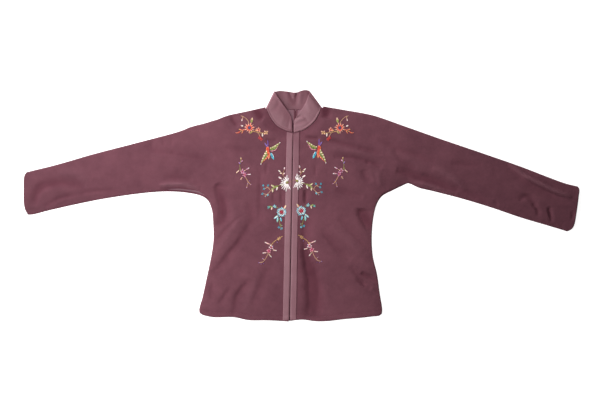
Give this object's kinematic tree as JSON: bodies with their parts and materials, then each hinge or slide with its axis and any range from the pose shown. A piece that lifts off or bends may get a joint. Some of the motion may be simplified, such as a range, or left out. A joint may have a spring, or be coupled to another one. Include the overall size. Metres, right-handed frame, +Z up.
{
  "type": "padded jacket",
  "caption": "Light jacket laid flat, with a stand collar, wide sleeves cut in one with the body, and satin bands down fronts that meet edge to edge.",
  "frame": {"origin": "middle of the laid jacket's box, on the surface that it lies on", "axes": "+X towards the sleeve on the wearer's left, +Y from the hem to the collar, +Z up from the surface"},
  "size_m": [1.4712, 0.6122, 0.0096],
  "materials": {
    "plum_cloth": "matt crepe with a fine grain",
    "mauve_satin": "soft satin sheen"
  },
  "bodies": {
    "root": {"back_right": "plum_cloth", "back_left": "plum_cloth", "front_right": "plum_cloth", "front_left": "plum_cloth", "collar": "mauve_satin", "band_right": "mauve_satin", "band_left": "mauve_satin"}
  },
  "joints": []
}
